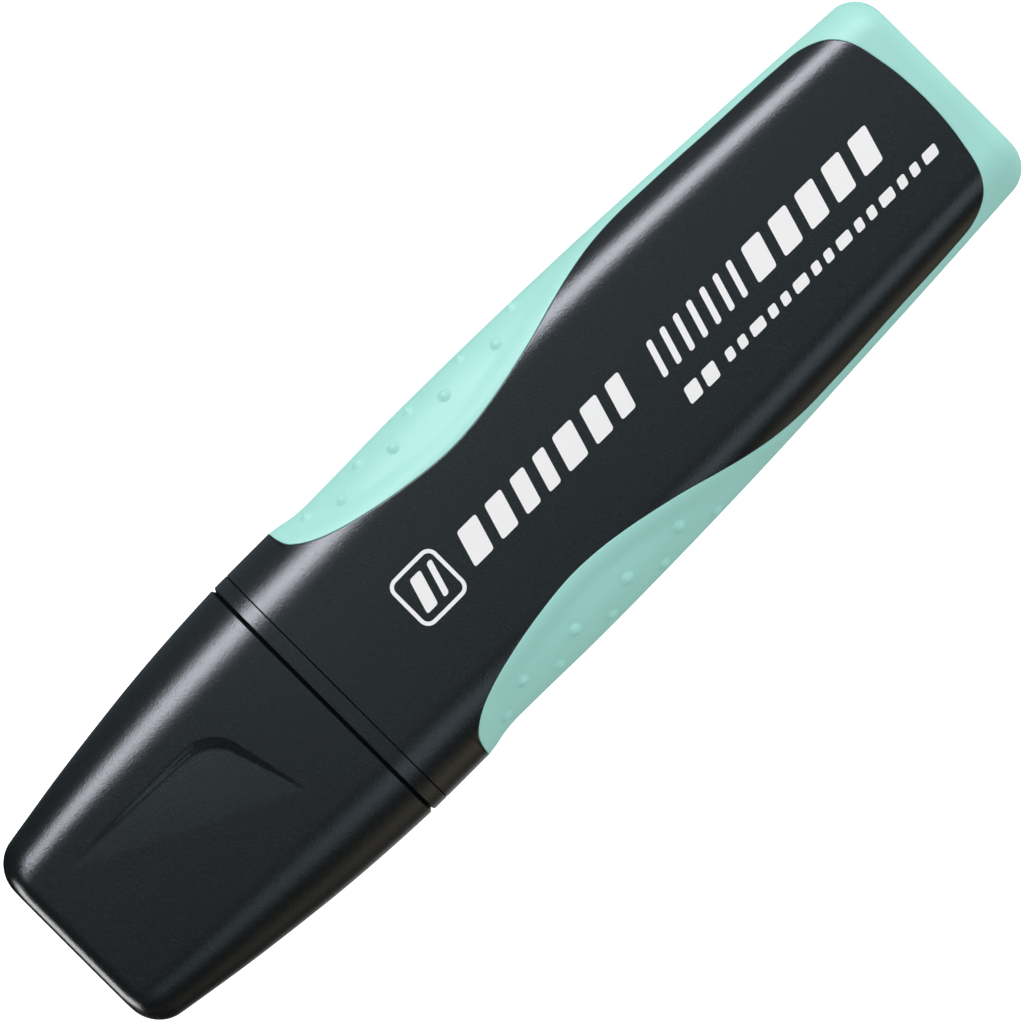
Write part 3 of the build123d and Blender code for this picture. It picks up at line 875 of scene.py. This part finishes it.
def scaled(tree, color, factor):
    """A colour or vector socket times a factor socket."""
    node = tree.nodes.new("ShaderNodeVectorMath")
    node.operation = "SCALE"
    tree.links.new(color, node.inputs[0])
    tree.links.new(factor, node.inputs["Scale"])
    return node.outputs["Vector"]


def stretched(tree, scale):
    """Object coordinates, scaled on each axis."""
    node = tree.nodes.new("ShaderNodeMapping")
    node.inputs["Scale"].default_value = scale
    tree.links.new(tree.nodes.new("ShaderNodeTexCoord").outputs["Object"], node.inputs["Vector"])
    return node.outputs["Vector"]


def placed_group(tree, group, **values):
    """A node group placed in a material, with its own values."""
    node = tree.nodes.new("ShaderNodeGroup")
    node.node_tree = group
    for socket, value in values.items():
        node.inputs[socket.replace("_", " ")].default_value = value
    return node.outputs


def new_material(name):
    """A material, its node tree and its shader."""
    material = bpy.data.materials.new(name)
    material.use_nodes = True
    return material, material.node_tree, material.node_tree.nodes["Principled BSDF"]


def bump(tree, height, depth_mm, shader):
    """Joins a height to the shader's normal, at its depth in millimetres."""
    node = tree.nodes.new("ShaderNodeBump")
    node.inputs["Strength"].default_value = 1.0
    node.inputs["Distance"].default_value = depth_mm * MM
    tree.links.new(height, node.inputs["Height"])
    tree.links.new(node.outputs["Normal"], shader.inputs["Normal"])


def remap(tree, value, low, high, to_low, to_high):
    """Maps a value from one range to another, held at both ends."""
    node = tree.nodes.new("ShaderNodeMapRange")
    tree.links.new(value, node.inputs["Value"])
    for name, number in zip(("From Min", "From Max", "To Min", "To Max"), (low, high, to_low, to_high)):
        node.inputs[name].default_value = number
    return node.outputs["Result"]


# %% [markdown]
# Spark-eroded grain. Each spark leaves a tiny round crater in the tool, so the plastic is covered in even
# grains without direction. Plain noise at one size gives them, and a mask of its peaks is where the materials
# paint glints into the base colour.

# %% Node group: spark-eroded grain
FINER = 2.3


def make_grain_group():
    """Height of a fine even grain, and a mask of its peaks.

    Two layers of noise, the second about twice as fine and half as strong, are added. The mask is the part
    of the first layer that stands well above its mean.
    """
    group, given, out = new_group(
        "SparkGrain",
        [("Grain Size mm", "NodeSocketFloat", 0.12), ("Strength", "NodeSocketFloat", 1.0)],
        [("Height", "NodeSocketFloat"), ("Mask", "NodeSocketFloat")],
    )
    place = group.nodes.new("ShaderNodeTexCoord").outputs["Object"]
    scale = math_node(group, "DIVIDE", 1 / MM, given.outputs["Grain Size mm"])
    coarse = noise_node(group, scale, 2.0, 0.6, place)
    fine = noise_node(group, math_node(group, "MULTIPLY", scale, FINER), 1.0, 0.5, place)
    both = math_node(group, "MULTIPLY_ADD", fine, 0.5, coarse)
    height = math_node(group, "MULTIPLY", both, given.outputs["Strength"])
    group.links.new(height, out.inputs["Height"])
    group.links.new(remap(group, coarse, 0.5, 0.72, 0.0, 1.0), out.inputs["Mask"])
    return group


# %% [markdown]
# Flow streaks. Coloured plastic is never quite even: the melt runs along the mould from the gate, and the
# pigment is drawn out with it. Noise that is stretched along the pen looks the same, and it only has to be
# felt, not seen.

# %% Node group: flow streaks
FLOW_STRETCH = (0.125, 1.0, 1.0)
FLOW_SCALE = 260.0


def make_streak_group():
    """Faint streaks of colour: noise stretched eight times along X scales the colour up and down."""
    group, given, out = new_group(
        "FlowStreaks",
        [("Color", "NodeSocketColor", (1, 1, 1, 1)), ("Amount", "NodeSocketFloat", 0.1)],
        [("Color", "NodeSocketColor"), ("Mask", "NodeSocketFloat")],
    )
    cloud = noise_node(group, FLOW_SCALE, 4.0, 0.55, stretched(group, FLOW_STRETCH))
    mask = remap(group, cloud, 0.3, 0.7, 0.0, 1.0)
    swing = math_node(group, "SUBTRACT", mask, 0.5)
    change = math_node(group, "MULTIPLY_ADD", swing, given.outputs["Amount"], 1.0)
    group.links.new(scaled(group, given.outputs["Color"], change), out.inputs["Color"])
    group.links.new(mask, out.inputs["Mask"])
    return group


# %% [markdown]
# Dust and handling. Fingers polish some places and dull others, in patches a centimetre wide, and a few
# specks of dust lie on anything that is not brand new. The specks are the middles of Voronoi cells, and a
# slow noise clears most areas of them.

# %% Node group: dust and handling
PATCH_SCALE = 90.0
SPECK_SCALE = 420.0
CLEAR_SCALE = 150.0


def make_dust_group():
    """Roughness that swings with slow noise, and a mask of specks.

    A speck is near a cell's middle, and only where a second noise is high.
    """
    group, given, out = new_group(
        "HandledDust",
        [("Roughness", "NodeSocketFloat", 0.4), ("Variation", "NodeSocketFloat", 0.04),
         ("Specks", "NodeSocketFloat", 1.0)],
        [("Roughness", "NodeSocketFloat"), ("Specks", "NodeSocketFloat")],
    )
    place = group.nodes.new("ShaderNodeTexCoord").outputs["Object"]
    patches = noise_node(group, PATCH_SCALE, 3.0, 0.5, place)
    swing = math_node(group, "SUBTRACT", patches, 0.5)
    swing = math_node(group, "MULTIPLY", swing, given.outputs["Variation"])
    group.links.new(math_node(group, "ADD", given.outputs["Roughness"], swing), out.inputs["Roughness"])
    cells = group.nodes.new("ShaderNodeTexVoronoi")
    cells.inputs["Scale"].default_value = SPECK_SCALE
    group.links.new(place, cells.inputs["Vector"])
    speck = remap(group, cells.outputs["Distance"], 0.02, 0.05, 1.0, 0.0)
    sparse = remap(group, noise_node(group, CLEAR_SCALE, 2.0, 0.5, place), 0.6, 0.66, 0.0, 1.0)
    mask = math_node(group, "MULTIPLY", math_node(group, "MULTIPLY", speck, sparse), given.outputs["Specks"])
    group.links.new(mask, out.inputs["Specks"])
    return group


grain_group = make_grain_group()
streak_group = make_streak_group()
dust_group = make_dust_group()
print("node groups:", [group.name for group in bpy.data.node_groups])


# %% [markdown]
# One function lays out a moulded plastic from those groups, and each finish is a call with its own numbers.
# Base colour is the streaked colour with dust mixed in, with painted glints that make it brighter on the
# peaks of the grain. Roughness comes from the handling group, and the grain goes through a Bump node to the
# normal.

# %% Moulded plastics
DUST = (0.35, 0.34, 0.32, 1)


def moulded(name, color, roughness, grain_mm, grain_depth_mm, streaks, specks, glint=0.0, **fixed):
    """A moulded plastic with grain, flow streaks, dust and painted glints.

    glint is how much brighter the painted glints on the grain's peaks are than the colour round them, as a
    share of that colour.
    fixed holds plain values of the shader's own sockets.
    """
    material, tree, shader = new_material(name)
    for socket, value in fixed.items():
        shader.inputs[socket.replace("_", " ")].default_value = value
    streak = placed_group(tree, streak_group, Color=(*color, 1), Amount=streaks)
    dust = placed_group(tree, dust_group, Roughness=roughness, Specks=specks)
    grain = placed_group(tree, grain_group, Grain_Size_mm=grain_mm)
    mix = tree.nodes.new("ShaderNodeMix")
    mix.data_type = "RGBA"
    tree.links.new(dust["Specks"], mix.inputs["Factor"])
    tree.links.new(streak["Color"], mix.inputs["A"])
    mix.inputs["B"].default_value = DUST
    # Painted glints: the base colour is made brighter on the grain's peaks, standing in for light caught
    # there.
    painted_glints = scaled(tree, mix.outputs["Result"], remap(tree, grain["Mask"], 0.0, 1.0, 1.0, 1.0 + glint))
    tree.links.new(painted_glints, shader.inputs["Base Color"])
    tree.links.new(dust["Roughness"], shader.inputs["Roughness"])
    bump(tree, grain["Height"], grain_depth_mm, shader)
    return material


# The black plastic gets painted glints on its grain; the other finishes get none.
dark_plastic = moulded("SparkErodedBlack", (0.0062, 0.0076, 0.0084), 0.235, 0.18, 0.0190, 0.18, 0.05, 1.2)
mint_plastic = moulded("SatinMint", (0.385, 0.775, 0.70), 0.55, 0.35, 0.0012, 0.05, 0.0,
                       Specular_IOR_Level=0.4)
cup_plastic = moulded("MilkyPlastic", (0.80, 0.80, 0.76), 0.42, 0.30, 0.0015, 0.04, 0.0,
                      Subsurface_Weight=0.2)
print_ink = moulded("WhiteInk", (0.95, 0.95, 0.95), 0.55, 0.16, 0.0020, 0.03, 0.0)
print("plastics:", [material.name for material in (dark_plastic, mint_plastic, cup_plastic, print_ink)])

# %% [markdown]
# The nib and the reservoir are bundles of fibre lying along the pen, soaked in ink. Noise stretched a long
# way along X gives the strands, as height and as painted shade in the colour between them. The film is a thin
# glossy wrap.

# %% Fibre and film
STRAND_STRETCH = (0.025, 1.0, 1.0)
# Share of the fibre's colour left as painted shade between strands.
SHADE_BETWEEN_STRANDS = 0.62


def soaked_fibre(name, color, strand_mm, depth_mm):
    """Ink-soaked fibre: noise stretched forty times along X, with painted shade between strands and full
    colour on them.
    """
    material, tree, shader = new_material(name)
    shader.inputs["Roughness"].default_value = 0.55
    shader.inputs["Sheen Weight"].default_value = 0.25
    strands = noise_node(tree, 1 / (strand_mm * MM), 3.0, 0.6, stretched(tree, STRAND_STRETCH))
    ramp = tree.nodes.new("ShaderNodeValToRGB")
    ramp.color_ramp.elements[0].position = 0.3
    # Painted shade: the colour between strands, where the height is low, is darker.
    ramp.color_ramp.elements[0].color = (*(SHADE_BETWEEN_STRANDS * np.array(color)), 1)
    ramp.color_ramp.elements[1].position = 0.7
    ramp.color_ramp.elements[1].color = (*color, 1)
    tree.links.new(strands, ramp.inputs["Fac"])
    tree.links.new(ramp.outputs["Color"], shader.inputs["Base Color"])
    bump(tree, strands, depth_mm, shader)
    return material


nib_fibre = soaked_fibre("InkedNibFibre", (0.30, 0.84, 0.72), 0.16, 0.03)
core_fibre = soaked_fibre("InkedCoreFibre", (0.34, 0.86, 0.76), 0.3, 0.08)
film = moulded("ClearFilm", (0.80, 0.86, 0.85), 0.12, 0.6, 0.003, 0.03, 0.0, Coat_Weight=0.3)
print("fibres and film:", [material.name for material in (nib_fibre, core_fibre, film)])

# %% [markdown]
# Each piece gets its finish, rides on the CAD body that it belongs to, and stands for its CAD node. The
# reservoir and its film are never seen, so their CAD nodes stay, with the fibre and film finishes.

# %% Finish, ride and replace
ASSEMBLY = [
    ("barrel_shell", dark_plastic, "barrel", "dark_plastic", "barrel"),
    ("grip_frame_shell", mint_plastic, "barrel", "mint_plastic", "grip_frame"),
    ("front_section", dark_plastic, "barrel", "dark_plastic", "nib_holder"),
    ("nib_chisel", nib_fibre, "barrel", "ink_fibre", "chisel_nib"),
    ("cap_outer", dark_plastic, "cap", "dark_plastic", "cap_shell"),
    ("sealing_cup", cup_plastic, "cap", "natural_plastic", "inner_cap"),
    ("print_bars", print_ink, "barrel", None, None),
]
for name, material, body, slot, node in ASSEMBLY:
    pieces[name].data.materials.append(material)
    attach(pieces[name], body)
    if node:
        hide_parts(node)
for node, material in (("reservoir_core", core_fibre), ("reservoir_film", film)):
    mesh = frame["nodes"][node].data
    mesh.materials.clear()
    mesh.materials.append(material)
print("pieces on each body:", {body: sum(row[2] == body for row in ASSEMBLY) for body in ("barrel", "cap")})

# %% [markdown]
# The studio floor is pale and plain. Where the camera sees it, it shines by itself, so it is an even white
# without a shadow's edge. Reflections pass it by, so the black flanks mirror dark surroundings and stay
# black to their edges.

# %% Floor
FLOOR_HALF = 3.0
FLOOR_GAP = 0.00002

floor_mesh = bpy.data.meshes.new("studio_floor")
corners = FLOOR_HALF * np.array([(-1, -1), (1, -1), (1, 1), (-1, 1)])
floor_mesh.from_pydata([(x, y, cad_low.z - FLOOR_GAP) for x, y in corners.tolist()], [], [(0, 1, 2, 3)])
floor = bpy.data.objects.new("studio_floor", floor_mesh)
bpy.context.scene.collection.objects.link(floor)
floor_paint, paper_tree, paper = new_material("FloorPaper")
paper.inputs["Base Color"].default_value = (0.93, 0.93, 0.93, 1)
paper.inputs["Roughness"].default_value = 0.9
paper.inputs["Specular IOR Level"].default_value = 0.0
paper.inputs["Emission Color"].default_value = (1, 1, 1, 1)
seen = paper_tree.nodes.new("ShaderNodeLightPath")
paper_tree.links.new(seen.outputs["Is Camera Ray"], paper.inputs["Emission Strength"])
floor_mesh.materials.append(floor_paint)
floor.visible_glossy = False
print("floor at", round((cad_low.z - FLOOR_GAP) / MM, 3), "mm")

# %% [markdown]
# What the black plastic mirrors is mostly a matter of how far a direction leans sideways, so the
# surroundings are painted as soft stripes along the pen, each at its lean from straight up, in degrees
# towards +Y. They are pale above and on the -Y side. On the +Y side come a dark gap, a bright band for the
# flank's soft streak, a second dark gap, and a faint warm band just below the horizon. They dim towards the
# cap's end, so the cap's face, which leans that way, is a little darker than the barrel's. Only reflections
# see the stripes: matt surfaces get one even light.

# %% Painted surroundings
CEILING = (0.80, 1.0, 1.10)
WARM = (1.12, 1.0, 0.74)
DIFFUSE_LIGHT = 0.60
CAP_SIDE_EDGE = (0.01, 0.14)
STRIPES = [(-180, 0.10, CEILING), (-136, 0.22, CEILING), (-103, 0.37, CEILING), (-80, 0.45, CEILING),
           (-30, 0.82, CEILING), (0, 0.76, CEILING), (8, 0.50, CEILING), (18, 0.12, CEILING),
           (26, 0.25, CEILING), (35, 1.75, CEILING), (50, 1.70, CEILING), (60, 0.2, CEILING),
           (72, 0.02, CEILING), (90, 0.3, WARM),
           (103, 0.80, WARM), (118, 0.3, WARM), (136, 0.03, WARM), (180, 0.10, CEILING)]

world = bpy.data.worlds.new("studio")
bpy.context.scene.world = world
world.use_nodes = True
sky = world.node_tree
direction = sky.nodes.new("ShaderNodeSeparateXYZ")
sky.links.new(sky.nodes.new("ShaderNodeTexCoord").outputs["Generated"], direction.inputs["Vector"])
lean_angle = math_node(sky, "ARCTAN2", direction.outputs["Y"], direction.outputs["Z"])
turn_share = math_node(sky, "MULTIPLY_ADD", lean_angle, 1 / (2 * math.pi), 0.5)
stripes = sky.nodes.new("ShaderNodeValToRGB")
sky.links.new(turn_share, stripes.inputs["Fac"])
marks = stripes.color_ramp.elements
for mark, (degrees, radiance, tint) in zip(
    [marks[0], marks[1]] + [marks.new(0.5) for _ in STRIPES[2:]],
    STRIPES[:1] + STRIPES[-1:] + STRIPES[1:-1],
):
    mark.color = (*(radiance * value for value in tint), 1)
    mark.position = degrees / 360 + 0.5
ray = sky.nodes.new("ShaderNodeLightPath")
choice = sky.nodes.new("ShaderNodeMix")
choice.data_type = "RGBA"
choice.inputs["A"].default_value = (DIFFUSE_LIGHT, DIFFUSE_LIGHT, DIFFUSE_LIGHT, 1)
sky.links.new(ray.outputs["Is Glossy Ray"], choice.inputs["Factor"])
dimmed = scaled(sky, stripes.outputs["Color"], remap(sky, direction.outputs["X"], *CAP_SIDE_EDGE, 1.0, 0.1))
sky.links.new(dimmed, choice.inputs["B"])
sky.links.new(choice.outputs["Result"], sky.nodes["Background"].inputs["Color"])
print("stripes:", len(marks), "brightest", max(radiance for _, radiance, _ in STRIPES))

# %% [markdown]
# Soft boxes. Three are seen only in reflections. The key strip draws the strong streak along the -Y flank.
# The cap card and the tail card stand just below the horizon at the two ends and light only the rounded
# rims there, so that no view from above finds them in the flat face. Two more give light and no reflection,
# and shade the mint from the -Y side and the tail.


# %% Soft boxes
def soft_box(name, towards, distance, size, radiance, color=(1, 1, 1), diffuse=False):
    """A rectangular light that faces the pen, in the direction towards. size is along and across the pen.

    The power that gives a wanted radiance is the radiance times pi times the area.
    """
    light = bpy.data.lights.new(name, "AREA")
    light.shape = "RECTANGLE"
    light.size, light.size_y = size
    light.energy = radiance * math.pi * size[0] * size[1]
    light.color = color
    lamp = bpy.data.objects.new(name, light)
    bpy.context.scene.collection.objects.link(lamp)
    back = np.array(towards, float) / np.linalg.norm(towards)
    along = np.array([1.0, 0.0, 0.0]) if abs(back[0]) < 0.7 else np.array([0.0, 1.0, 0.0])
    up = np.cross(back, along)
    up = up / np.linalg.norm(up)
    along = np.cross(up, back)
    middle = np.array([0, 0, AXIS_Z * MM]) + distance * back
    matrix = np.eye(4)
    matrix[:3, :3] = np.column_stack([along, up, back])
    matrix[:3, 3] = middle
    lamp.matrix_world = Matrix(matrix.tolist())
    lamp.visible_camera = False
    lamp.visible_diffuse = diffuse
    lamp.visible_glossy = not diffuse


def lean(degrees, sideways, forwards=0.0):
    """Direction leaning from straight up by an angle, towards +Y for sideways 1 and +X for forwards 1."""
    a = math.radians(degrees)
    flat = np.array([forwards, sideways]) / np.hypot(forwards, sideways)
    return (math.sin(a) * flat[0], math.sin(a) * flat[1], math.cos(a))


soft_box("key_strip", lean(49, -1, -0.12), 0.6, (0.50, 0.28), 14.0, (0.92, 0.94, 1.04))
soft_box("cap_card", lean(99, 0, 1), 0.5, (0.45, 0.27), 9.0)
soft_box("tail_card", lean(104, 0, -1), 0.5, (0.45, 0.25), 4.5, (1.0, 0.88, 0.92))
soft_box("left_glow", lean(55, -1), 0.7, (0.9, 0.6), 1.3, diffuse=True)
soft_box("tail_glow", lean(58, 0, -1), 0.7, (0.6, 0.6), 0.85, diffuse=True)
print("soft boxes:", {light.name: round(light.energy, 2) for light in bpy.data.lights})

# %% [markdown]
# The camera looks straight down on the printed face, turned so that the pen lies along the picture's
# diagonal with its cap at the lower left. It is far off with a very long lens, so the face and the flanks
# show at one scale.

# %% Camera
CAMERA_HEIGHT = 2.0
VIEW_WIDTH = 0.08892
SENSOR = 0.036
CENTRING = (-0.00033, 0.00006)

camera_data = bpy.data.cameras.new("camera")
camera = bpy.data.objects.new("camera", camera_data)
bpy.context.scene.collection.objects.link(camera)
camera_data.sensor_width = SENSOR / MM
camera_data.lens = SENSOR * CAMERA_HEIGHT / VIEW_WIDTH / MM
camera_data.clip_start, camera_data.clip_end = 0.01, 10
middle = (cad_low + cad_high) / 2
camera.location = (middle.x + CENTRING[0], middle.y + CENTRING[1], middle.z + CAMERA_HEIGHT)
camera.rotation_euler = (0, 0, math.radians(135))
bpy.context.scene.camera = camera
bpy.context.scene.view_settings.view_transform = "Standard"
bpy.context.scene.view_settings.look = "None"
print("camera", round(CAMERA_HEIGHT, 2), "m up, lens", round(camera_data.lens), "mm")
